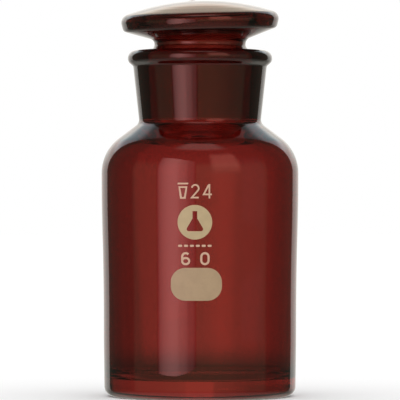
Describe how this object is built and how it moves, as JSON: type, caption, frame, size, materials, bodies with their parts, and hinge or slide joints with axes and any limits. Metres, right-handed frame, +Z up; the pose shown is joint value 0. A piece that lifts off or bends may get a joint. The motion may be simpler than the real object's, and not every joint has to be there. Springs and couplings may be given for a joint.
{
  "type": "stoppered reagent bottle",
  "caption": "Round red-brown glass reagent bottle with a sloping shoulder, a flared neck and a hollow ground-glass stopper with a flat domed head, marked in tan fired enamel.",
  "frame": {"origin": "middle of the foot, on the plane that the bottle stands on", "axes": "+Z up along the glass axis, through the stopper; -Y is the side that carries the enamel marks; +X to the right of the marks"},
  "size_m": [0.0472, 0.0473, 0.0949],
  "materials": {
    "bottle_glass": "clear borosilicate glass with a red-brown stain fired into its outer surface, polished outside, ground in the socket",
    "stopper_glass": "clear borosilicate glass with the same red-brown stain, polished head, ground plug",
    "enamel": "tan fired enamel, matt and slightly grainy"
  },
  "bodies": {
    "bottle_body": {"bottle": "bottle_glass", "joint_symbol": "enamel", "joint_size_mark": "enamel", "flask_emblem": "enamel", "dash_line_mark": "enamel", "capacity_mark": "enamel", "writing_patch": "enamel"},
    "stopper_body": {"stopper": "stopper_glass"}
  },
  "joints": [
    {"name": "stopper_lift", "type": "slide", "parent": "bottle_body", "child": "stopper_body", "axis": [0, 0, 1], "range_m": [0, 0.06]}
  ]
}
